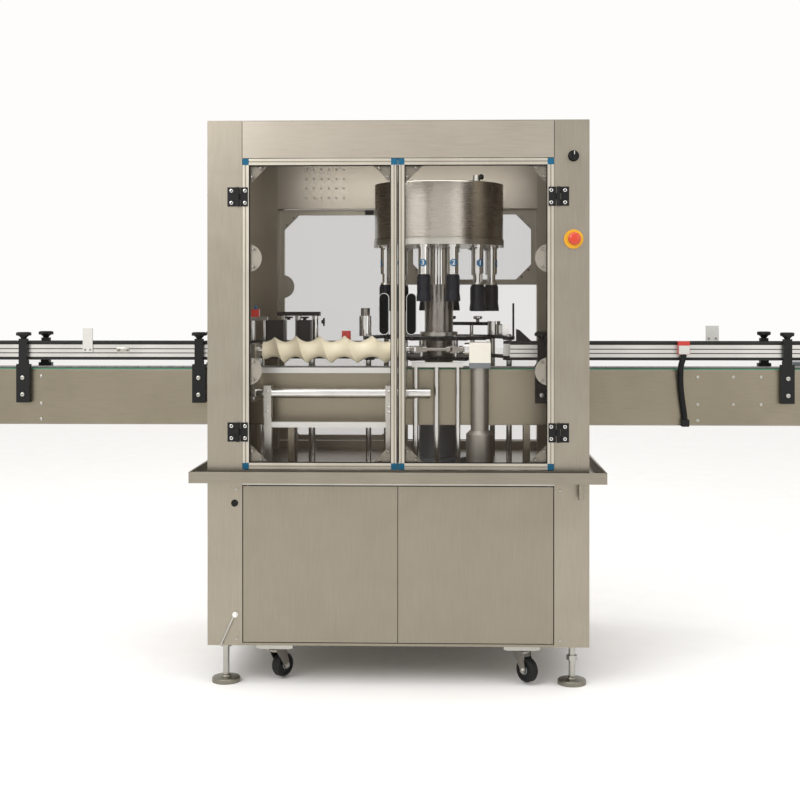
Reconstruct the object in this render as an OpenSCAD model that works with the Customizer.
// Rotary capping machine: a stainless cabinet on casters and levelling feet, a guarded
// turret of twelve capping heads, a star wheel, an infeed screw and a slat-chain conveyor.
// Millimetres, +X along the conveyor in the direction of travel, -Y the front, +Z up,
// origin on the floor under the middle of the machine.

/* [Cabinet] */
// Width of the cabinet
cab_w = 1200; // [1120:10:1440]
// Depth of the cabinet
cab_d = 900; // [860:10:1080]
// Height from the floor to the top of the roof
total_h = 1780; // [1760:10:2140]
// Width of each corner post, as seen from the front
post_w = 110; // [90:5:130]
// Depth of each corner post
post_d = 60; // [50:5:70]
// Wall of the folded posts, headers and side sheets
sheet = 3; // [2:0.5:4]
// Height of the underside of the base plate
base_z = 128; // [120:1:150]
// Thickness of the base plate
base_t = 8; // [6:1:12]
// Height of the tray floor, on which the enclosure stands
deck_z = 650; // [640:5:700]
// How far the tray stands out past the cabinet on every side
tray_out = 50; // [30:5:70]
// Height of the tray lip above the tray floor
lip_h = 30; // [20:1:32]
// Height of the front header
header_h = 118; // [90:2:150]
// Height of the taller rear header
rear_header_h = 218; // [190:2:240]

/* [Doors] */
// Width of the square door-frame profile
bar = 20; // [16:1:25]
// Gap around each door
door_gap = 1; // [1:0.5:3]
// Thickness of the clear panels
pane_t = 5; // [3:1:6]
// Thickness of the corner gussets and clamp plates
gusset_t = 3; // [2:1:4]
// Leg of a corner gusset, measured from the outside of the frame
gusset_leg = 92; // [60:1:96]
// Radius of the half-round clamp plates
clamp_r = 44; // [35:1:50]
// Height and width of one black hinge
hinge_size = 60; // [50:1:70]
// Radius of the hinge knuckle
knuckle_r = 6; // [5:0.5:7]
// Radius of the hinge pin
pin_r = 2.5; // [2:0.5:3]

/* [Turret] */
// Distance of the turret axis to the right of the middle
turret_x = 124; // [110:1:140]
// Radius of the circle of capping heads
head_circle_r = 190; // [185:1:200]
// Diameter of a bottle
bottle_d = 86; // [70:1:88]
// Radius of the drum over the heads
drum_r = 225; // [220:1:240]
// Height of the drum shell
drum_h = 196; // [180:1:210]
// Diameter of a capping spindle
spindle_d = 26; // [20:1:29]
// Diameter of a guide sleeve
sleeve_d = 38; // [36:1:44]
// Diameter of the lower turret shaft, in its bearings
shaft_d = 80; // [66:1:88]
// Height of the heads above the chain when they are down
head_clear = 186; // [170:1:190]
// How far the cam lifts a head
head_lift = 34; // [25:1:36]
// Diameter of the fixed post that holds the lifting cam
cam_post_d = 30; // [24:1:36]

/* [Drive] */
// Teeth on the turret gear
gear_teeth = 144; // [132:12:144]
// Teeth on the pinion of the screw drive, one turn for each bottle
screw_teeth = 12; // [11:1:12]
// Teeth on the motor pinion
motor_teeth = 24; // [20:1:28]
// Gear module
gear_module = 4; // [4:0.05:4.1]
// Face width of the gears
gear_w = 25; // [20:1:30]
// Diameter of the upright screw-drive shaft
upright_d = 20; // [16:1:22]
// Diameter of the gearbox output shaft
output_d = 16; // [12:1:16]

/* [Screw] */
// Crest diameter of the infeed screw
screw_crest_d = 90; // [84:1:94]
// Root diameter of the infeed screw
screw_root_d = 50; // [46:1:56]
// Length of the infeed screw
screw_len = 458; // [420:1:480]
// Pitch at the infeed end
pitch_in = 66; // [60:1:72]
// Pitch at the turret end
pitch_out = 102; // [96:1:106]
// Diameter of the screw's shaft ends
screw_end_d = 20; // [16:1:24]
// Diameter of the chrome bar that carries the screw
carry_bar_d = 32; // [28:1:36]

/* [Conveyor] */
// Length of the conveyor
conv_len = 3000; // [2800:20:3600]
// Height of the chain's running face
chain_z = 992; // [985:1:1000]
// Width of the chain slats
slat_w = 82.5; // [80:0.5:86]
// Height of the conveyor side plates
side_h = 185; // [170:1:190]
// Distance between the outsides of the two side plates
conv_w = 114; // [110:1:118]
// Height of the aluminium guide rail
rail_h = 41; // [36:1:45]
// Diameter of the conveyor shafts
conv_shaft_d = 25; // [20:1:30]

/* [Feet and casters] */
// Diameter of a levelling-foot pad
pad_d = 90; // [70:1:100]
// Diameter of a levelling-foot stem
stem_d = 20; // [16:1:24]
// Diameter of a caster wheel
wheel_d = 76; // [70:1:80]
// Width of a caster wheel
wheel_w = 28; // [24:1:30]
// Clearance of the wheels above the floor when the feet are down
wheel_lift = 8; // [4:1:12]

/* [Controls] */
// Diameter of the emergency-stop button
estop_d = 40; // [35:1:45]
// Travel of the emergency-stop button
estop_travel = 5; // [4:1:6]

/* [Hidden] */
eps_gap = 0.3;       // clear air between faces of different bodies
seam = 0.02;         // hairline left around each piece, so that neighbours stay separate
fit = 0.05;          // radial clearance of a running fit
hx = cab_w / 2;
hy = cab_d / 2;
ox = hx - post_w;    // half the width of the opening between the posts
skin = 2;            // cladding of the lower cabinet
tray_t = 5;          // thickness of the tray floor
deck_t = 12;         // thickness of the machine plate under the tray
deck_under = deck_z - tray_t - deck_t;
sill_h = lip_h + 1;
roof_under = total_h - sheet;
header_z = total_h - header_h;
rear_header_z = total_h - rear_header_h;
frame_s = 50;        // square tube of the base frame
frame_wall = 4;
pan_t = 20;          // depth of the folded lower doors
pan_gap = 3;         // gap around them
pivot_x = ox - pan_gap - 12;
pivot_y = hy - 7;
pivot_d = 6;

// Doors
door_z0 = deck_z + sill_h + 2;
door_z1 = header_z - 2;
door_y = -hy;        // front face of the front doors
hinge_x = ox + 13;   // axis of the door hinges, in front of the posts
hinge_y = hy + 8;
hinge_low = door_z0 + 117;
hinge_high = door_z1 - 120;
leaf_t = 4;
leaf_lift = 1;
hinge_knuckle_h = 20;
hinge_zs = [hinge_low, hinge_high];
clamp_zs = [door_z0 + 308, door_z0 + 665];
pane_y = door_y + 7;
handle_h = 127;
handle_w = 28;
handle_t = 20;
handle_z = door_z0 + 489;
handle_in = 43;      // handle centre from the middle of the machine
mullion_x0 = -18;
mullion_x1 = 2;
rear_door_x0 = -ox + door_gap;
rear_door_x1 = mullion_x0 - 2;
window_z0 = rear_header_z - 287;

// Conveyor
conv_y = 50 - head_circle_r;         // centre line of the chain
turret_y = conv_y + head_circle_r;
slat_t = 4;
strip_t = 4;
side_top = chain_z - slat_t - strip_t + 1;
side_z0 = side_top - side_h;
conv_front = conv_y - conv_w / 2;    // outer face of the front side plate
conv_back = conv_y + conv_w / 2;
sprocket_r = 66;
end_x = conv_len / 2 - 100;          // axis of the end shafts
shaft_z = chain_z - slat_t - sprocket_r - eps_gap;
rail_z0 = chain_z + 34;
rail_t = 16;
rail_edge = 10;                      // black strip above and below the rail
rail_gap = bottle_d / 2 + 4;
front_rail_y = conv_y - rail_gap - rail_t;
back_rail_y = conv_y + rail_gap;
tunnel_y0 = -260;
tunnel_y1 = -20;
tunnel_z0 = 790;
tunnel_z1 = 1210;

// Screw
screw_z = chain_z + 60;
screw_y = conv_y - bottle_d / 2 - screw_root_d / 2;
screw_x1 = 0;
screw_x0 = screw_x1 - screw_len;
plate_t = 12;
carry_y = -285;
carry_z = 911;
stand_xs = [-431, -34];
screw_phase = 0.69;     // turn of the thread, as the machine stands
stand_w = 24;

// Drive
gear_z0 = deck_under - 48;
mesh_r = gear_module * (gear_teeth + screw_teeth) / 2;
upright_y = -230;
upright_x = turret_x + sqrt(pow(mesh_r, 2) - pow(turret_y - upright_y, 2));
motor_x = turret_x - gear_module * (gear_teeth + motor_teeth) / 2;
motor_y = turret_y;
box_w = 70;
box_z0 = 1010;
box_z1 = 1076;
box_y0 = upright_y - 38;
box_y1 = screw_y + 16;
column_d = 60;
column_foot_d = 90;
foot_top = 786;

// Turret
cup_z = chain_z + head_clear;
cup_h = 90;
cup_d0 = 50;
cup_d1 = 44;
neck_ring_h = 3;
sleeve_z0 = cup_z + cup_h + head_lift + neck_ring_h + 1;
flange_z0 = sleeve_z0 + 98;
flange_t = 18;
flange_z1 = flange_z0 + flange_t;
drum_z1 = flange_z1 + drum_h;
cam_z = flange_z1 + 78;              // low track of the cam
cam_r = head_circle_r - 32;
cam_wall = 8;
roller_r = 10;
roller_in = 29;
spindle_top = cam_z + roller_r + 20;
neck_z = cup_z + cup_h;
pedestal_d = 140;
pedestal_top = side_top - 25;
journal_top = pedestal_top + 30;
column_r = 50;
mast_r = 34;
mast_z = sleeve_z0 - 35;
bearing_w = 24;
star_r = head_circle_r - 4;
star_t = 12;
star_zs = [chain_z + 17, chain_z + 86];
guide_in = head_circle_r + bottle_d / 2 + 3;
guide_out = guide_in + 30;

// Feet and casters
foot_x = hx - 50;
foot_y = hy - 55;
caster_x = hx - 210;
caster_y = hy - 65;
caster_turn = [55, -50, 160, 200];
caster_pad = 13;
caster_plate = 4;
caster_boss = 7;
trail = 28;
axle_r = 4;
axle_z = wheel_lift + wheel_d / 2;
crown_top = base_z - caster_pad - caster_plate - caster_boss - eps_gap;

// Controls on the right post
control_x = hx - 50;
estop_z = 1406;
selector_z = total_h - 114;

HEADS = [for (n = [1:12]) str("capping_head_", n < 10 ? "0" : "", n)];
CASTERS = ["front_left", "front_right", "rear_left", "rear_right"];

$fn = 48;

// ---------- small helpers ----------

// Box between two corners, a hair small on every side.
module block(p, q) {
    translate(p + seam * [1, 1, 1]) cube(q - p - 2 * seam * [1, 1, 1]);
}

// Upright cylinder from z0 to z1, a hair short at both ends.
module post(x, y, z0, z1, d) {
    translate([x, y, z0 + seam]) cylinder(d = d, h = z1 - z0 - 2 * seam);
}

// Cylinder along X.
module rod_x(x0, x1, y, z, d) {
    translate([x0 + seam, y, z]) rotate([0, 90, 0]) cylinder(d = d, h = x1 - x0 - 2 * seam);
}

// Cylinder along Y.
module rod_y(x, y0, y1, z, d) {
    translate([x, y1 - seam, z]) rotate([90, 0, 0]) cylinder(d = d, h = y1 - y0 - 2 * seam);
}

// Upright tube.
module sleeve(x, y, z0, z1, d_out, d_in) {
    difference() {
        post(x, y, z0, z1, d_out);
        post(x, y, z0 - 1, z1 + 1, d_in);
    }
}

// Hollow box with its two open ends along the given axis (0 = X, 2 = Z).
module box_tube(p, q, wall, axis) {
    grow = [for (i = [0:2]) i == axis ? 1 : -wall];
    difference() {
        block(p, q);
        block(p - grow, q + grow);
    }
}

// Mirror about the middle plane of the machine and keep both.
module both_sides() {
    children();
    mirror([1, 0, 0]) children();
}

// Plate in the XZ plane, y0 to y1, from a 2D outline whose Y is the height.
module wall_plate(y0, y1) {
    translate([0, y1, 0]) rotate([90, 0, 0]) linear_extrude(y1 - y0) children();
}

// Arc-shaped plate between two radii, from angle a0 to a1.
module arc_plate(z0, z1, r0, r1, a0, a1) {
    translate([turret_x, turret_y, z0]) rotate([0, 0, a0])
        rotate_extrude(angle = a1 - a0, $fn = 96) translate([r0, 0]) square([r1 - r0, z1 - z0]);
}

// Spur gear with straight-flanked stub teeth, a tooth centred on angle 0.
module gear(teeth, width, bore_d, thin = 0.35) {
    pitch_r = gear_module * teeth / 2;
    tip = pitch_r + 0.75 * gear_module;
    root = pitch_r - 1.0 * gear_module;
    half = 90 / teeth - thin / pitch_r * 57.3;
    slope = tan(24) * gear_module / pitch_r * 57.3;
    difference() {
        linear_extrude(width) polygon([for (i = [0:teeth - 1])
            for (k = [[root, -half - slope], [tip, -half + 0.75 * slope],
                      [tip, half - 0.75 * slope], [root, half + slope]])
                k[0] * [cos(360 * i / teeth + k[1]), sin(360 * i / teeth + k[1])]]);
        translate([0, 0, -1]) cylinder(d = bore_d, h = width + 2);
    }
}

// Turned clamp knob standing on z.
module clamp_knob(x, y, z, d) {
    r = d / 2;
    translate([x, y, z + seam]) rotate_extrude() polygon([[0, 0], [r * 0.35, 0], [r * 0.4, 9],
        [r * 0.9, 11], [r, 14], [r, 20], [r * 0.85, 22], [0, 22]]);
}

function head_angle(n) = -15 - 30 * n;
function head_rest(n) = (n == 2 || n == 3) ? head_lift : 0;

// ---------- lower cabinet ----------

module base_frame() color("slategray") {
    inx = hx - skin;
    iny = hy - skin;
    front = -(hy - pan_t - 8);
    pivots = [[-pivot_x, -pivot_y], [pivot_x, -pivot_y]];
    difference() {
        block([-inx, -iny, base_z], [inx, iny, base_z + base_t]);
        for (p = pivots) post(p[0], p[1], base_z - 1, base_z + base_t + 1, pivot_d + 2 * fit);
    }
    for (sx = [-1, 1]) for (sy = [-1, 1])
        translate([sx * (inx - frame_s / 2), sy * (iny - frame_s / 2), 0])
            box_tube([-frame_s / 2, -frame_s / 2, base_z + base_t],
                     [frame_s / 2, frame_s / 2, deck_under], frame_wall, 2);
    top = deck_under - frame_s;
    block([-inx + frame_s, front, top], [inx - frame_s, front + frame_s, deck_under]);
    block([-inx + frame_s, iny - frame_s, top], [inx - frame_s, iny, deck_under]);
    both_sides() block([inx - frame_s, -iny + frame_s, top], [inx, iny - frame_s, deck_under]);
    difference() {
        block([-inx, -iny, deck_under], [inx, iny, deck_under + deck_t]);
        post(turret_x, turret_y, deck_under - 1, deck_z, shaft_d + 10);
        post(upright_x, upright_y, deck_under - 1, deck_z, upright_d + 10);
        for (p = pivots) post(p[0], p[1], deck_under - 1, deck_z, pivot_d + 2 * fit);
    }
    for (sx = [-1, 1]) for (sy = [-1, 1]) translate([sx * caster_x, sy * caster_y, 0]) {
        block([-57, -50, base_z - caster_pad], [57, 50, base_z]);
        block([-48, -43, base_z - caster_pad - caster_plate], [48, 43, base_z - caster_pad]);
        difference() {
            post(0, 0, crown_top + eps_gap, base_z - caster_pad - caster_plate, 34);
            post(0, 0, crown_top, base_z - caster_pad - caster_plate - 1, 12 + 2 * fit);
        }
    }
}

module base_panels() color("lightgray") {
    top = deck_under + deck_t;
    both_sides() {
        block([hx - skin, -hy, base_z], [hx, hy, top]);
        block([ox, -hy, base_z], [hx - skin, -hy + skin, top]);
        block([ox, -hy + skin, base_z + base_t], [ox + skin, -hy + pan_t, deck_under]);
    }
    block([-hx + skin, hy - skin, base_z], [hx - skin, hy, top]);
}

module deck_tray() color("silver") {
    ex = hx + tray_out;
    ey = hy + tray_out;
    drain_x = hx - 28;
    drain_y = -hy - 30;
    difference() {
        block([-ex, -ey, deck_z - tray_t], [ex, ey, deck_z]);
        post(turret_x, turret_y, deck_z - tray_t - 1, deck_z + 1, shaft_d + 10);
        post(upright_x, upright_y, deck_z - tray_t - 1, deck_z + 1, upright_d + 10);
        post(drain_x, drain_y, deck_z - tray_t - 1, deck_z + 1, 14);
    }
    block([-ex, -ey, deck_z], [ex, -ey + sheet, deck_z + lip_h]);
    block([-ex, ey - sheet, deck_z], [ex, ey, deck_z + lip_h]);
    both_sides() block([ex - sheet, -ey + sheet, deck_z], [ex, ey - sheet, deck_z + lip_h]);
    sleeve(drain_x, drain_y, deck_z - tray_t - 50, deck_z - tray_t, 20, 14);
}

// Folded pan with a pivot pin at the top and the bottom, both in plain holes.
module lower_door(side) {
    z0 = base_z + base_t + pan_gap;
    z1 = deck_under - pan_gap;
    color("lightgray") mirror([side < 0 ? 1 : 0, 0, 0]) union() {
        difference() {
            block([1, -hy, z0], [ox - pan_gap, -hy + pan_t, z1]);
            block([1 + skin, -hy + skin, z0 + skin],
                  [ox - pan_gap - skin, -hy + pan_t + 1, z1 - skin]);
        }
        post(pivot_x, -pivot_y, base_z + 2, z0 + 10, pivot_d);
        post(pivot_x, -pivot_y, z1 - 10, deck_under + 10, pivot_d);
    }
}

module levelling_feet() color("gainsboro")
    for (sx = [-1, 1]) for (sy = [-1, 1]) translate([sx * foot_x, sy * foot_y, 0]) {
        rotate_extrude() polygon([[0, 0], [pad_d / 2, 0], [pad_d / 2, 12], [pad_d / 2 - 3, 15],
            [stem_d / 2 + 6, 17], [stem_d / 2 + 4, 22], [stem_d / 2, 24], [stem_d / 2, base_z], [0, base_z]]);
        nut_z = sx < 0 ? base_z - 16 : 76;
        difference() {
            translate([0, 0, nut_z]) cylinder(d = stem_d * 1.75, h = 15, $fn = 6);
            translate([0, 0, nut_z - 1]) cylinder(d = stem_d + 0.1, h = 17);
        }
    }

// ---------- enclosure ----------

module enclosure_posts() color("silver") {
    both_sides() for (y0 = [-hy, hy - post_d])
        box_tube([ox, y0, deck_z], [hx, y0 + post_d, roof_under], sheet, 2);
    box_tube([-ox, -hy, header_z], [ox, -hy + post_d, roof_under], sheet, 0);
    difference() {
        box_tube([-ox, hy - post_d, rear_header_z], [ox, hy, roof_under], sheet, 0);
        for (i = [0:5]) for (j = [0:3])
            rod_y(-381 + i * 28.6, hy - post_d - 1, hy - post_d + sheet + 1,
                  total_h - 70 - j * 36, 8);
    }
    block([-ox, -hy, deck_z], [ox, -hy + bar, deck_z + sill_h]);
    block([-ox, hy - bar, deck_z], [ox, hy, deck_z + sill_h]);
    block([mullion_x0, hy - bar, deck_z + sill_h], [mullion_x1, hy, rear_header_z]);
}

module enclosure_panels() color("lightgray") {
    y0 = -hy + post_d;
    y1 = hy - post_d;
    both_sides() {
        block([hx - sheet, y0, deck_z], [hx, tunnel_y0, roof_under]);
        block([hx - sheet, tunnel_y1, deck_z], [hx, y1, roof_under]);
        block([hx - sheet, tunnel_y0, deck_z], [hx, tunnel_y1, tunnel_z0]);
        block([hx - sheet, tunnel_y0, tunnel_z1], [hx, tunnel_y1, roof_under]);
        block([hx - sheet - 40, 20, tunnel_z0], [hx - sheet, 24, roof_under]);
    }
    block([-hx, -hy, roof_under], [hx, hy, total_h]);
}

// Door frame of grooved square profile between four corner cubes; front face at y0,
// with the groove on the outside face given by out (-1 front, +1 rear).
module profile_frame(x0, x1, z0, z1, y0, out) {
    groove_y = out < 0 ? y0 : y0 + bar - 2;
    for (x = [x0, x1 - bar]) difference() {
        block([x, y0, z0 + bar], [x + bar, y0 + bar, z1 - bar]);
        block([x + bar / 2 - 2, groove_y - 1, z0], [x + bar / 2 + 2, groove_y + 3, z1]);
    }
    for (z = [z0, z1 - bar]) difference() {
        block([x0 + bar, y0, z], [x1 - bar, y0 + bar, z + bar]);
        block([x0, groove_y - 1, z + bar / 2 - 2], [x1, groove_y + 3, z + bar / 2 + 2]);
    }
}

module corner_cubes(x0, x1, z0, z1, y0) {
    for (x = [x0, x1 - bar]) for (z = [z0, z1 - bar])
        block([x, y0, z], [x + bar, y0 + bar, z + bar]);
}

// Triangular gussets on the inner face of a frame, y0 to y0 + gusset_t.
module gussets(x0, x1, z0, z1, y0, leg) {
    for (sx = [0, 1]) for (sz = [0, 1])
        wall_plate(y0, y0 + gusset_t)
            translate([sx ? x1 - 3 : x0 + 3, sz ? z1 - 3 : z0 + 3])
                polygon([[0, 0], [sx ? -leg : leg, 0], [0, sz ? -leg : leg]]);
}

// Half-round clamp plate with its flat along a stile at x, bulging towards side.
module half_disc(x, z, y0, r, side) {
    wall_plate(y0, y0 + gusset_t) difference() {
        union() {
            translate([x, z]) circle(r = r);
            translate([x - 10, z - r]) square([20, 2 * r]);
        }
        translate([side > 0 ? x - 10 - 2 * r : x + 10, z - 2 * r]) square([2 * r, 4 * r]);
    }
}

module front_door_frame() color("silver") {
    x0 = -ox + door_gap;
    x1 = -door_gap;
    y_in = door_y + bar;
    profile_frame(x0, x1, door_z0, door_z1, door_y, -1);
    gussets(x0, x1, door_z0, door_z1, y_in, gusset_leg);
    for (z = clamp_zs) half_disc(x0 + bar - 6, z, y_in, clamp_r, 1);
}

module front_door_glass() color("lightcyan", 0.4)
    block([-ox + door_gap + bar, pane_y, door_z0 + bar],
          [-door_gap - bar, pane_y + pane_t, door_z1 - bar]);

// Black pull handle with a finger scoop.
module pull_handle() {
    difference() {
        wall_plate(pane_y - handle_t, pane_y) translate([-handle_in, handle_z]) union() {
            for (s = [-1, 1]) translate([0, s * (handle_h - handle_w) / 2]) circle(d = handle_w);
            square([handle_w, handle_h - handle_w], center = true);
        }
        block([-handle_in - handle_w / 2 + 5, pane_y - handle_t - 1, handle_z - 42],
              [-handle_in + handle_w / 2 - 5, pane_y - 4, handle_z + 42]);
    }
}

// Door-side leaf of a hinge whose axis is at x = -hinge_x; y is the door's face.
module moving_leaf(z) {
    edge = -ox + door_gap;
    half = hinge_size / 2;
    difference() {
        union() {
            block([edge, -hy - leaf_t, z - half], [edge + 17, -hy, z + half]);
            block([edge - 6, -hy - leaf_t, z - half], [edge + 1, -hy - leaf_lift, z + half]);
            block([-hinge_x, -hy - leaf_t, z - hinge_knuckle_h / 2 + eps_gap],
                  [edge - 5, -hy - leaf_lift, z + hinge_knuckle_h / 2 - eps_gap]);
            post(-hinge_x, -hinge_y, z - hinge_knuckle_h / 2 + eps_gap,
                 z + hinge_knuckle_h / 2 - eps_gap, 2 * knuckle_r);
        }
        post(-hinge_x, -hinge_y, z - half, z + half, 2 * (pin_r + fit));
    }
}

// Post-side leaf with the pin.
module fixed_leaf(z) {
    half = hinge_size / 2;
    block([-hinge_x - 33, -hy - leaf_t, z - half], [-hinge_x - 8, -hy, z + half]);
    for (s = [-1, 1]) {
        lo = s < 0 ? z - half : z + hinge_knuckle_h / 2;
        hi = s < 0 ? z - hinge_knuckle_h / 2 : z + half;
        block([-hinge_x - 9, -hy - leaf_t, lo], [-hinge_x, -hy - leaf_lift, hi]);
        post(-hinge_x, -hinge_y, lo, hi, 2 * knuckle_r);
    }
    post(-hinge_x, -hinge_y, z - half, z + half, 2 * pin_r);
}

module front_door_fittings() {
    color("steelblue") corner_cubes(-ox + door_gap, -door_gap, door_z0, door_z1, door_y);
    color("dimgray") {
        pull_handle();
        for (z = hinge_zs) moving_leaf(z);
    }
}

module hinge_leaves() color("dimgray") {
    both_sides() for (z = hinge_zs) fixed_leaf(z);
    mirror([0, 1, 0]) for (z = hinge_zs) fixed_leaf(z);
}

module rear_door() {
    z1 = rear_header_z - 2;
    y0 = hy - bar;
    color("silver") {
        profile_frame(rear_door_x0, rear_door_x1, door_z0, z1, y0, 1);
        corner_cubes(rear_door_x0, rear_door_x1, door_z0, z1, y0);
        gussets(rear_door_x0, rear_door_x1, door_z0, z1, y0 - gusset_t, gusset_leg);
        half_disc(rear_door_x0 + bar - 6, door_z0 + 585, y0 - gusset_t, clamp_r, 1);
    }
    color("lightcyan", 0.4)
        block([rear_door_x0 + bar, y0 + 8, door_z0 + bar],
              [rear_door_x1 - bar, y0 + 8 + pane_t, z1 - bar]);
    color("dimgray") {
        mirror([0, 1, 0]) for (z = hinge_zs) moving_leaf(z);
        block([-160, y0 - 18, z1 - bar], [-128, y0, z1 - 2]);
    }
}

module rear_window_frame() {
    x0 = mullion_x1;
    y0 = hy - bar;
    color("silver") {
        profile_frame(x0, ox, window_z0, rear_header_z, y0, 1);
        corner_cubes(x0, ox, window_z0, rear_header_z, y0);
        gussets(x0, ox, window_z0, rear_header_z, y0 - gusset_t, gusset_leg);
    }
    color("lightcyan", 0.4)
        block([x0 + bar, y0 + 8, window_z0 + bar], [ox - bar, y0 + 8 + pane_t, rear_header_z - bar]);
}

// ---------- turret ----------

module fixed_column() {
    color("dimgray") difference() {
        union() {
            post(turret_x, turret_y, deck_z, pedestal_top, pedestal_d);
            post(turret_x, turret_y, deck_z, deck_z + 20, pedestal_d + 60);
        }
        post(turret_x, turret_y, deck_z - 1, pedestal_top + 1, shaft_d + 8);
        for (z = [deck_z - 1, pedestal_top - bearing_w])
            post(turret_x, turret_y, z, z + bearing_w + 1, shaft_d + 30);
    }
    color("silver") {
        for (z = [deck_z, pedestal_top - bearing_w])
            sleeve(turret_x, turret_y, z, z + bearing_w - 1, shaft_d + 30 - 2 * seam,
                   shaft_d + 2 * fit);
        post(turret_x, turret_y, base_z + base_t, flange_z1 + 14, cam_post_d);
    }
    color("gray") translate([turret_x, turret_y, 0]) {
        translate([0, 0, flange_z1 + 14]) cylinder(r = cam_r - cam_wall, h = 10);
        difference() {
            translate([0, 0, flange_z1 + 14]) cylinder(r = cam_r, h = cam_z + head_lift - flange_z1 - 14);
            translate([0, 0, flange_z1 + 13]) cylinder(r = cam_r - cam_wall, h = 400);
            wall_plate(-2 * cam_r, 2 * cam_r)
                polygon([[-2 * cam_r, cam_z], [-150, cam_z], [-90, cam_z + head_lift],
                         [-90, cam_z + 2 * head_lift], [-2 * cam_r, cam_z + 2 * head_lift]]);
            wall_plate(-2 * cam_r, 2 * cam_r)
                polygon([[2 * cam_r, cam_z], [150, cam_z], [90, cam_z + head_lift],
                         [90, cam_z + 2 * head_lift], [2 * cam_r, cam_z + 2 * head_lift]]);
            block([-2 * cam_r, 0, cam_z], [2 * cam_r, 2 * cam_r, cam_z + 2 * head_lift]);
        }
    }
}

module turret_shaft() color("silver") {
    bore = cam_post_d + 4;
    difference() {
        union() {
            post(turret_x, turret_y, gear_z0 - 15, journal_top, shaft_d);
            post(turret_x, turret_y, pedestal_top + 2, mast_z, 2 * column_r);
            post(turret_x, turret_y, mast_z - 5, flange_z0, 2 * mast_r);
        }
        post(turret_x, turret_y, gear_z0 - 16, flange_z1, bore);
    }
    translate([turret_x, turret_y, gear_z0]) gear(gear_teeth, gear_w, shaft_d + 2 * fit);
    sleeve(turret_x, turret_y, gear_z0 - 12, gear_z0, shaft_d + 40, shaft_d + 2 * fit);
}

module turret_flange() {
    color("gainsboro") difference() {
        post(turret_x, turret_y, flange_z0, flange_z1, 2 * (drum_r + 3));
        post(turret_x, turret_y, flange_z0 - 1, flange_z1 + 1, cam_post_d + 4);
        for (n = [1:12]) translate([turret_x, turret_y, 0]) rotate([0, 0, head_angle(n)])
            post(head_circle_r, 0, flange_z0 - 1, flange_z1 + 1, spindle_d + 2 * fit);
    }
    color("silver") for (n = [1:12])
        translate([turret_x, turret_y, 0]) rotate([0, 0, head_angle(n)]) difference() {
            union() {
                post(head_circle_r, 0, sleeve_z0, flange_z0, sleeve_d);
                post(head_circle_r, 0, flange_z0 - 8, flange_z0, sleeve_d + 12);
            }
            post(head_circle_r, 0, sleeve_z0 - 1, flange_z0 + 1, spindle_d + 2 * fit);
        }
}

module turret_drum() color("silver") translate([turret_x, turret_y, 0]) {
    difference() {
        translate([0, 0, flange_z1]) cylinder(r = drum_r, h = drum_h, $fn = 96);
        translate([0, 0, flange_z1 - 1]) cylinder(r = drum_r - sheet, h = drum_h - sheet + 1, $fn = 96);
    }
    translate([0, 0, seam]) rotate_extrude() polygon([[0, drum_z1], [70, drum_z1],
        [70, drum_z1 + 3], [24, drum_z1 + 16], [0, drum_z1 + 16]]);
    rotate([0, 0, -38]) {
        post(165, 0, drum_z1, drum_z1 + 6, 34);
        post(165, 0, drum_z1 + 6, drum_z1 + 26, 24);
    }
    rotate([0, 0, 200]) block([80, -8, drum_z1], [96, 8, drum_z1 + 20]);
}

module star_wheel() {
    color("dimgray") for (z = star_zs) translate([turret_x, turret_y, z]) difference() {
        cylinder(r = star_r, h = star_t, $fn = 96);
        translate([0, 0, -1]) cylinder(r = column_r + fit, h = star_t + 2);
        for (n = [1:12]) rotate([0, 0, head_angle(n)]) translate([head_circle_r, 0, -1])
            cylinder(d = bottle_d + 1, h = star_t + 2);
    }
    color("silver") for (i = [0:5]) translate([turret_x, turret_y, 0]) rotate([0, 0, 60 * i])
        post(118, 0, star_zs[0] + star_t, star_zs[1], 16);
}

// One capping head, drawn on its own axis with the chuck down.
module capping_head(n) {
    translate([turret_x, turret_y, 0]) rotate([0, 0, head_angle(n)])
        translate([head_circle_r, 0, head_rest(n)]) {
            color("silver") union() {
                post(0, 0, neck_z, spindle_top, spindle_d);
                post(0, 0, neck_z, neck_z + neck_ring_h, spindle_d + 6);
                rod_x(-roller_in, 0, 0, cam_z + roller_r, 2 * roller_r);
            }
            color("dimgray") rotate_extrude() polygon([[0, cup_z + 34], [14, cup_z + 30],
                [16, cup_z + 4], [20, cup_z], [cup_d0 / 2, cup_z], [cup_d0 / 2, cup_z + 12],
                [cup_d1 / 2, cup_z + 34], [cup_d1 / 2, neck_z - 4], [cup_d1 / 2 - 4, neck_z],
                [0, neck_z]]);
        }
}

// ---------- drive ----------

// A pinion is turned so that one of its gaps faces a tooth of the turret gear.
module placed_pinion(x, y, teeth, bore_d) {
    towards = atan2(turret_y - y, turret_x - x);
    back = towards + 180;
    slip = (back * gear_teeth / 360 - floor(back * gear_teeth / 360)) * 360 / gear_teeth;
    translate([x, y, gear_z0])
        rotate([0, 0, towards + 180 / teeth + slip * gear_teeth / teeth])
            gear(teeth, gear_w, bore_d);
}

module drive_pinion() color("gray") {
    placed_pinion(motor_x, motor_y, motor_teeth, 24 + 2 * fit);
    post(motor_x, motor_y, gear_z0 - 75, gear_z0 + gear_w + 4, 24);
}

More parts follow.
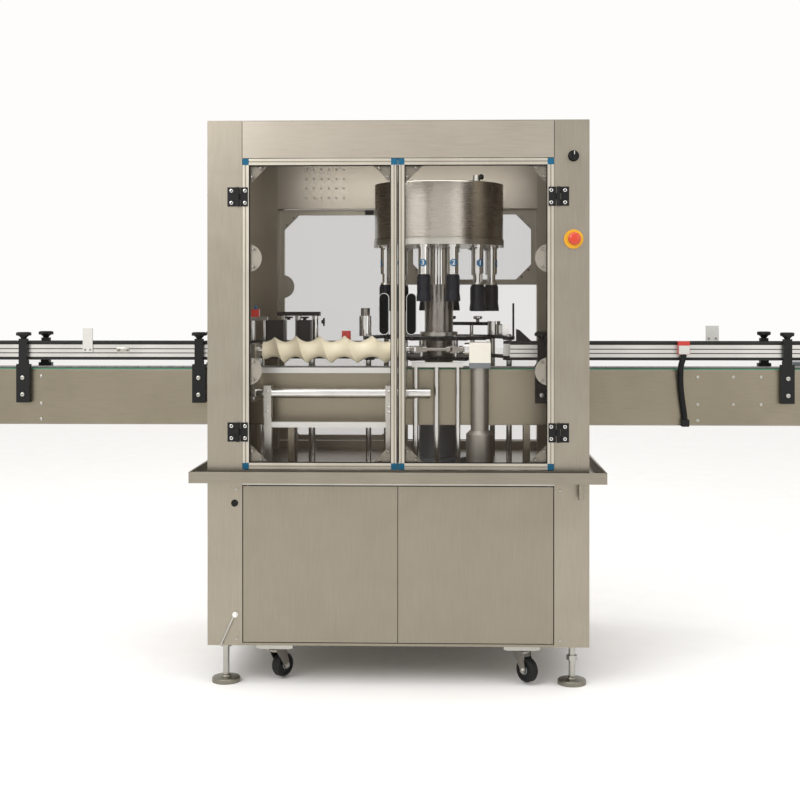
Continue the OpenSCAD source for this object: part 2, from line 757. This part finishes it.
module drive_motors() {
    z0 = base_z + base_t;
    z2 = gear_z0 - 35;
    z1 = z2 - 110;
    color("steelblue") {
        post(motor_x, motor_y, z0 + 14, z1, 150);
        block([motor_x + 60, motor_y - 45, z1 - 150], [motor_x + 105, motor_y + 45, z1 - 40]);
        block([motor_x - 80, motor_y - 80, z0], [motor_x + 80, motor_y + 80, z0 + 14]);
        difference() {
            block([motor_x - 85, motor_y - 85, z1], [motor_x + 85, motor_y + 85, z2]);
            post(motor_x, motor_y, gear_z0 - 76, z2 + 1, 24 + 2 * fit);
        }
    }
    color("lightgray") {
        difference() {
            block([end_x - 50, conv_back, shaft_z - 50], [end_x + 50, conv_back + 90, shaft_z + 50]);
            rod_y(end_x, conv_back - 1, conv_back + 61, shaft_z, conv_shaft_d + 2 * fit);
        }
        rod_y(end_x, conv_back + 90, conv_back + 270, shaft_z, 110);
    }
}

module screw_drive_shaft() color("silver") {
    placed_pinion(upright_x, upright_y, screw_teeth, upright_d + 2 * fit);
    post(upright_x, upright_y, gear_z0 - 8, box_z0 + 22, upright_d);
}

module screw_gearbox() {
    bore = upright_d + 2 * fit;
    color("gray") difference() {
        translate([upright_x, upright_y, 0]) rotate_extrude() polygon([[0, deck_z + seam],
            [column_foot_d / 2, deck_z + seam], [column_foot_d / 2, foot_top - 12],
            [column_d / 2 + 3, foot_top], [column_d / 2, foot_top],
            [column_d / 2, box_z0 - 18 - seam], [0, box_z0 - 18 - seam]]);
        post(upright_x, upright_y, deck_z - 1, box_z0, bore);
    }
    color("lightgray") difference() {
        block([upright_x - box_w / 2, box_y0, box_z0 - 18], [upright_x + box_w / 2, box_y1, box_z0]);
        post(upright_x, upright_y, box_z0 - 19, box_z0 + 1, bore);
    }
    color("ivory") difference() {
        block([upright_x - box_w / 2, box_y0, box_z0], [upright_x + box_w / 2, box_y1, box_z1]);
        post(upright_x, upright_y, box_z0 - 1, box_z0 + 23, bore);
        rod_x(upright_x - box_w / 2 - 1, upright_x + 16, screw_y, screw_z, output_d + 2 * fit);
    }
    color("gainsboro") difference() {
        rod_x(upright_x - box_w / 2 - 15, upright_x - box_w / 2, screw_y, screw_z, 46);
        rod_x(upright_x - box_w / 2 - 16, upright_x, screw_y, screw_z, output_d + 2 * fit);
    }
}

// One universal joint along X, centred on the crossing of its pins.
module universal_joint() {
    for (s = [-1, 1]) rotate([s < 0 ? 0 : 90, 0, 0]) {
        translate([s < 0 ? -28 : 14, 0, 0]) rod_x(0, 14, 0, 0, 24);
        for (k = [-1, 1]) block([s < 0 ? -16 : -7, -8, k * 9.5 - 2.5], [s < 0 ? 7 : 16, 8, k * 9.5 + 2.5]);
    }
    post(0, 0, -12, 12, 8);
    rod_y(0, -12, 12, 0, 8);
}

module cardan_shaft() color("silver") {
    x0 = screw_x1 + 30;
    x1 = upright_x - box_w / 2 - 16;
    translate([0, screw_y, screw_z]) union() {
        translate([x0 + 28, 0, 0]) universal_joint();
        rod_x(x0 + 50, x1 - 50, 0, 0, 12);
        translate([x1 - 32, 0, 0]) universal_joint();
        rod_x(x1 - 8, upright_x + 15, 0, 0, output_d);
    }
}

// ---------- infeed screw ----------

screw_sides = 24;
screw_steps = 66;
function screw_turns(x) = let(k = (pitch_out - pitch_in) / screw_len)
    ln(1 + k * x / pitch_in) / k;
function groove(p) = pow(abs(2 * (p - floor(p)) - 1), 2);
function lead_in(x) = min(1, 0.45 + 0.55 * x / pitch_in);
function screw_r(x, a) = screw_root_d / 2 + (screw_crest_d - screw_root_d) / 2
    * lead_in(x) * groove(screw_turns(x) - a / 360 + screw_phase);

module feed_screw() {
    n = screw_sides;
    pts = [for (i = [0:screw_steps]) for (j = [0:n - 1])
        let(x = screw_len * i / screw_steps, a = 360 * j / n, r = screw_r(x, a))
        [screw_x0 + x, screw_y + r * cos(a), screw_z + r * sin(a)]];
    ends = [[screw_x0, screw_y, screw_z], [screw_x1, screw_y, screw_z]];
    last = screw_steps * n;
    faces = concat(
        [for (i = [0:screw_steps - 1]) for (j = [0:n - 1])
            [i * n + j, (i + 1) * n + (j + 1) % n, i * n + (j + 1) % n]],
        [for (i = [0:screw_steps - 1]) for (j = [0:n - 1])
            [i * n + j, (i + 1) * n + j, (i + 1) * n + (j + 1) % n]],
        [for (j = [0:n - 1]) [len(pts), j, (j + 1) % n]],
        [for (j = [0:n - 1]) [len(pts) + 1, last + (j + 1) % n, last + j]]);
    color("ivory") polyhedron(concat(pts, ends), faces);
    color("silver") {
        rod_x(screw_x0 - 34, screw_x0, screw_y, screw_z, screw_end_d);
        rod_x(screw_x1, screw_x1 + 30, screw_y, screw_z, screw_end_d);
    }
}

module bearing_plate(x) {
    difference() {
        block([x, carry_y - 24, carry_z - 26], [x + plate_t, screw_y + 26, screw_z + 21]);
        block([x - 1, conv_front - eps_gap, carry_z - 27],
              [x + plate_t + 1, screw_y + 27, side_top + strip_t - 1 + eps_gap]);
        rod_x(x - 1, x + plate_t + 1, carry_y, carry_z, carry_bar_d + 2 * fit);
        rod_x(x - 1, x + plate_t + 1, screw_y, screw_z, screw_end_d + 2 * fit);
    }
}

module screw_stand() color("gainsboro") {
    left = screw_x0 - 25;
    right = screw_x1 + 8;
    bearing_plate(left);
    bearing_plate(right);
    block([left + plate_t, screw_y - 22, screw_z - 78], [right, screw_y - 10, screw_z - 60]);
    rod_x(left - 6, turret_x - 24, carry_y, carry_z, carry_bar_d);
    for (x = stand_xs) {
        difference() {
            block([x - stand_w / 2, carry_y - 22, 833], [x + stand_w / 2, carry_y + 22, 937]);
            rod_x(x - stand_w, x + stand_w, carry_y, carry_z, carry_bar_d + 2 * fit);
        }
        block([x - stand_w / 2, carry_y - stand_w / 2, deck_z], [x + stand_w / 2, carry_y + stand_w / 2, 833]);
    }
    block([stand_xs[0] + stand_w / 2, carry_y - 10, 800], [stand_xs[1] - stand_w / 2, carry_y + 10, 818]);
}

// ---------- bottle guides ----------

module bottle_guides() color("dimgray") {
    arc_plate(star_zs[0], star_zs[0] + star_t, guide_in, guide_out, -20, 200);
    arc_plate(star_zs[1], star_zs[1] + star_t, guide_in, guide_out, -20, 200);
    arc_plate(star_zs[1] + guide_step, star_zs[1] + guide_step + star_t, guide_in, guide_out, 48, 95);
}

guide_step = 46;       // from the upper guide plate to the short one over it

// Posts, table, blocks and knobs that hold the guides, and the stand in front of the turret.
module guide_stand() {
    mid = (guide_in + guide_out) / 2;
    top = star_zs[1] + star_t;
    clamp_post_h = 71;
    deflector_z = rail_z0 + rail_h + rail_edge;
    color("dimgray") {
        block([-530, -72, 1060], [-290, 60, 1075]);
        block([-468, -60, 1075], [-410, 0, 1147]);
        block([-362, -60, 1075], [-318, 0, 1147]);
        block([-441, 10, 1161], [-293, 60, 1175]);
        for (a = [56, 80]) translate([turret_x, turret_y, 0]) rotate([0, 0, a])
            clamp_knob(mid, 0, star_zs[1] + guide_step + star_t, 34);
        translate([turret_x, turret_y, 0]) rotate([0, 0, -4]) post(mid + 10, 0, top, top + 115, 7);
        translate([turret_x, turret_y, 0]) rotate([0, 0, 183])
            post(mid + 7, 0, top + clamp_post_h, top + clamp_post_h + 27, 32);
        wall_plate(back_rail_y + 2, back_rail_y + 8) polygon([[388, deflector_z],
            [440, deflector_z], [400, deflector_z + 37], [388, deflector_z + 41]]);
    }
    color("silver") {
        for (a = [-14, 40, 90, 140, 194]) translate([turret_x, turret_y, 0]) rotate([0, 0, a]) {
            post(mid, 0, deck_z, star_zs[0], 20);
            post(mid, 0, star_zs[0] + star_t, star_zs[1], 20);
        }
        for (a = [62, 88]) translate([turret_x, turret_y, 0]) rotate([0, 0, a])
            post(mid, 0, top, star_zs[1] + guide_step, 14);
        translate([turret_x, turret_y, 0]) {
            rotate([0, 0, 183]) post(mid + 7, 0, top, top + clamp_post_h, 44);
            rotate([0, 0, 38]) post(mid, 0, top, top + 50, 48);
            rotate([0, 0, 22]) block([mid - 14, -16, top], [mid + 14, 16, top + 40]);
        }
        for (x = [-500, -320]) post(x, 20, deck_z, 1060, 24);
        for (x = [-420, -370, -310]) post(x, 36, 1075, 1161, 22);
        for (x = [-517, -476]) post(x, -40, 1075, 1145, 14);
        block([-526, -50, 1145], [-467, -30, 1158]);
    }
    y = -225;
    color("gainsboro") {
        block([37, y - 13, chain_z + 2], [207, y + 10, chain_z + 18]);
        for (x = [50, 119, 190]) post(x, y, deck_z, chain_z + 2, x == 190 ? 16 : 19);
    }
}

// ---------- conveyor ----------

flange_in = 12;        // width of the folded edges, short of the chain

module side_plate(y0, inward) {
    difference() {
        union() {
            block([-conv_len / 2, y0, side_z0], [conv_len / 2, y0 + sheet, side_top]);
            for (z = [side_z0, side_top - sheet])
                block([-conv_len / 2, min(y0, y0 + inward * flange_in), z],
                      [conv_len / 2, max(y0, y0 + inward * flange_in) + sheet, z + sheet]);
        }
        for (s = [-1, 1]) {
            rod_y(s * end_x, y0 - 1, y0 + sheet + 1, shaft_z, conv_shaft_d + 6);
            for (dx = [-20, 20]) for (dz = [-50, 50])
                rod_y(s * (conv_len / 2 - 40) + dx, y0 - 1, y0 + sheet + 1,
                      side_z0 + side_h / 2 + dz, 9);
        }
    }
}

module conveyor_frame() {
    color("lightgray") {
        side_plate(conv_front, 1);
        side_plate(conv_back - sheet, -1);
        for (x = [-1200 : 400 : 1200])
            rod_y(x, conv_front + sheet, conv_back - sheet, side_z0 + 96, 18);
        for (x = [-368, 420]) for (y = [conv_front + 4, conv_back - 24])
            block([x - 10, y, deck_z], [x + 10, y + 20, side_z0]);
    }
    color("dimgray") for (s = [-1, 1]) {
        for (y = s > 0 ? [conv_front - 22] : [conv_front - 22, conv_back]) difference() {
            rod_y(s * end_x, y, y + 22, shaft_z, 60);
            rod_y(s * end_x, y - 1, y + 23, shaft_z, conv_shaft_d + 2 * fit);
        }
    }
    color("seagreen") for (y = [conv_front, conv_back - 18])
        block([-end_x, y, side_top], [end_x, y + 18, side_top + strip_t - 1]);
}

module conveyor_chain() color("dimgray") {
    y0 = conv_y - slat_w / 2;
    y1 = conv_y + slat_w / 2;
    inner = sprocket_r + eps_gap;
    block([-end_x, y0, chain_z - slat_t], [end_x, y1, chain_z]);
    block([-end_x, y0, shaft_z - inner - slat_t], [end_x, y1, shaft_z - inner]);
    for (s = [-1, 1]) intersection() {
        difference() {
            rod_y(s * end_x, y0, y1, shaft_z, 2 * (inner + slat_t));
            rod_y(s * end_x, y0 - 1, y1 + 1, shaft_z, 2 * inner);
        }
        block([s > 0 ? end_x : -end_x - 200, y0 - 2, shaft_z - 200],
              [s > 0 ? end_x + 200 : -end_x, y1 + 2, shaft_z + 200]);
    }
}

module sprocket(y0, y1) {
    wall_plate(y0, y1) polygon([for (i = [0:15]) for (k = [[sprocket_r - 8, -8], [sprocket_r, -4],
        [sprocket_r, 4], [sprocket_r - 8, 8]])
        k[0] * [cos(22.5 * i + k[1]), sin(22.5 * i + k[1])]]);
}

module end_shaft(s) color("silver") translate([s * end_x, 0, shaft_z]) union() {
    rod_y(0, conv_front - 20, s > 0 ? conv_back + 60 : conv_back + 20, 0, conv_shaft_d);
    sprocket(conv_y - 22, conv_y - 10);
    sprocket(conv_y + 10, conv_y + 22);
}

// Guide rail: a grooved aluminium bar with a black strip above and below.
module guide_rail(x0, x1, y0, out) {
    face = out < 0 ? y0 : y0 + rail_t;
    color("silver") difference() {
        block([x0, y0, rail_z0], [x1, y0 + rail_t, rail_z0 + rail_h]);
        for (z = [13, 27]) block([x0 - 1, face - 3, rail_z0 + z - 1.5], [x1 + 1, face + 3, rail_z0 + z + 1.5]);
    }
    color("dimgray") for (z = [rail_z0 - rail_edge, rail_z0 + rail_h])
        block([x0, y0, z], [x1, y0 + rail_t, z + rail_edge]);
}

module guide_rails() {
    guide_rail(-conv_len / 2, screw_x0 - 45, front_rail_y, -1);
    guide_rail(363, conv_len / 2, front_rail_y, -1);
    guide_rail(-conv_len / 2, -80, back_rail_y, 1);
    guide_rail(345, conv_len / 2, back_rail_y, 1);
}

front_bracket_xs = [-1262, -672, 467, 1274];
back_bracket_xs = [-1231, -650, 480, 1231];

module rail_bracket(x, out) {
    plate = out < 0 ? conv_front : conv_back;
    rail = out < 0 ? front_rail_y : back_rail_y + rail_t;
    far = plate + out * 25;
    union() {
        block([x - 22, min(plate, far), side_z0 + 74], [x + 22, max(plate, far), rail_z0 - 24]);
        block([x - 14, min(plate, far), rail_z0 - 26], [x + 14, max(plate, far), rail_z0 - rail_edge - 2]);
        block([x - 14, min(rail, far), rail_z0 - rail_edge - 4], [x + 14, max(rail, far), rail_z0 + rail_h + 20]);
    }
    clamp_knob(x, plate + out * 14, rail_z0 + rail_h + 20, 46);
}

module rail_brackets() color("dimgray") {
    for (x = front_bracket_xs) rail_bracket(x, -1);
    for (x = back_bracket_xs) rail_bracket(x, 1);
}

// ---------- sensors, controls ----------

// Black conduit from the right sensor down over the side plate; middle of the tube.
conduit_route = [[933, -222, 1036], [931, -225, 1024], [925, -227, 1008], [922, -224, 985],
    [923, -215, 955], [926, -211, 915], [931, -211, 875], [936, -211, 840], [939, -211, 806]];
conduit_r = 9;
conduit_sides = 10;
module conduit() {
    n = len(conduit_route);
    s = conduit_sides;
    pts = [for (i = [0:n - 1]) for (j = [0:s - 1])
        let(a = 360 * j / s) conduit_route[i] + conduit_r * [cos(a), sin(a), 0]];
    faces = concat(
        [[for (j = [0:s - 1]) s - 1 - j]],
        [[for (j = [0:s - 1]) (n - 1) * s + j]],
        [for (i = [0:n - 2]) for (j = [0:s - 1])
            [i * s + j, (i + 1) * s + (j + 1) % s, (i + 1) * s + j]],
        [for (i = [0:n - 2]) for (j = [0:s - 1])
            [i * s + j, i * s + (j + 1) % s, (i + 1) * s + (j + 1) % s]]);
    polyhedron(pts, faces);
}

module sensors_and_controls() {
    rail_top = rail_z0 + rail_h + rail_edge;
    rail_front = front_rail_y;
    color("gold") rod_y(control_x, -hy - 8, -hy, estop_z, 60);
    color("dimgray") {
        difference() {
            rod_y(control_x, -hy - 20, -hy - 8, estop_z, 30);
            rod_y(control_x, -hy - 21, -hy - 7, estop_z, 12 + 2 * fit);
        }
        difference() {
            rod_y(control_x, -hy - 5, -hy, selector_z, 34);
            rod_y(control_x, -hy - 6, -hy - 1, selector_z, 10 + 2 * fit);
        }
        conduit();
    }
    color("whitesmoke") {
        block([-1064, rail_front - 6, rail_z0 + 16], [-1031, rail_front, rail_top + 45]);
        block([1030, back_rail_y, rail_top], [1074, back_rail_y + 4, rail_top + 52]);
    }
    color("firebrick") {
        block([914, rail_front - 26, rail_z0 + 10], [952, rail_front, rail_z0 + 54]);
        block([-522, -52, 1158], [-496, -28, 1184]);
        block([-206, back_rail_y, rail_top], [-176, back_rail_y + 16, rail_top + 34]);
    }
}

module estop_button() color("red") union() {
    rod_y(control_x, -hy - 44, -hy - 27, estop_z, estop_d);
    rod_y(control_x, -hy - 28, -hy - 9 - estop_travel, estop_z, 12);
}

module selector_knob() color("black") union() {
    rod_y(control_x, -hy - 26, -hy - 6, selector_z, 28);
    rod_y(control_x, -hy - 7, -hy - 1.5, selector_z, 10);
    block([control_x - 4, -hy - 32, selector_z - 13], [control_x + 4, -hy - 25, selector_z + 13]);
}

// ---------- casters ----------

function caster_pos(i) = [(i % 2 == 0 ? -1 : 1) * caster_x, (i < 2 ? -1 : 1) * caster_y, 0];

module caster_fork(i) color("gray")
    translate(caster_pos(i)) rotate([0, 0, caster_turn[i]]) {
        leg_in = wheel_w / 2 + 2;
        union() {
            difference() {
                post(0, 0, crown_top - 7, crown_top, 58);
                block([-40, -leg_in - 3.5 - 30, 0], [40, -leg_in - 3.5, 200]);
                block([-40, leg_in + 3.5, 0], [40, leg_in + 3.5 + 30, 200]);
            }
            post(0, 0, crown_top - 7, crown_top + eps_gap + 5, 12);
            for (s = [-1, 1]) wall_plate(s < 0 ? -leg_in - 3 : leg_in, s < 0 ? -leg_in : leg_in + 3)
                polygon([[-20, crown_top - 1], [26, crown_top - 1], [trail + 12, axle_z],
                         [trail + 6, axle_z - 11], [trail - 6, axle_z - 11],
                         [trail - 14, axle_z + 2]]);
            rod_y(trail, -leg_in - 6, leg_in + 6, axle_z, 2 * axle_r);
        }
    }

module caster_wheel(i) color("dimgray")
    translate(caster_pos(i)) rotate([0, 0, caster_turn[i]])
        translate([trail, 0, axle_z]) rotate([90, 0, 0]) rotate_extrude() polygon([
            [axle_r + fit, -wheel_w / 2], [14, -wheel_w / 2], [16, -wheel_w / 2 + 4],
            [27, -wheel_w / 2 + 4], [29, -wheel_w / 2], [wheel_d / 2 - 3, -wheel_w / 2],
            [wheel_d / 2, -wheel_w / 2 + 5], [wheel_d / 2, wheel_w / 2 - 5],
            [wheel_d / 2 - 3, wheel_w / 2], [29, wheel_w / 2], [27, wheel_w / 2 - 4],
            [16, wheel_w / 2 - 4], [14, wheel_w / 2], [axle_r + fit, wheel_w / 2]]);

// ---------- the machine ----------

base_frame();
base_panels();
deck_tray();
enclosure_posts();
enclosure_panels();
rear_window_frame();
levelling_feet();
drive_motors();
fixed_column();
screw_stand();
screw_gearbox();
bottle_guides();
guide_stand();
conveyor_frame();
conveyor_chain();
guide_rails();
rail_brackets();
hinge_leaves();
sensors_and_controls();
turret_shaft();
turret_flange();
turret_drum();
star_wheel();
drive_pinion();
screw_drive_shaft();
cardan_shaft();
feed_screw();
front_door_frame();  // left_door_frame
front_door_glass();  // left_door_glass
front_door_fittings();  // left_door_fittings
mirror([1, 0, 0]) front_door_frame();  // right_door_frame
mirror([1, 0, 0]) front_door_glass();  // right_door_glass
mirror([1, 0, 0]) front_door_fittings();  // right_door_fittings
rear_door();
lower_door(-1);  // base_door_left
lower_door(1);  // base_door_right
end_shaft(1);  // conveyor_drive_shaft
end_shaft(-1);  // conveyor_tail_shaft
estop_button();
selector_knob();
for (n = [1:12]) capping_head(n);
for (i = [0:3]) caster_fork(i);
for (i = [0:3]) caster_wheel(i);
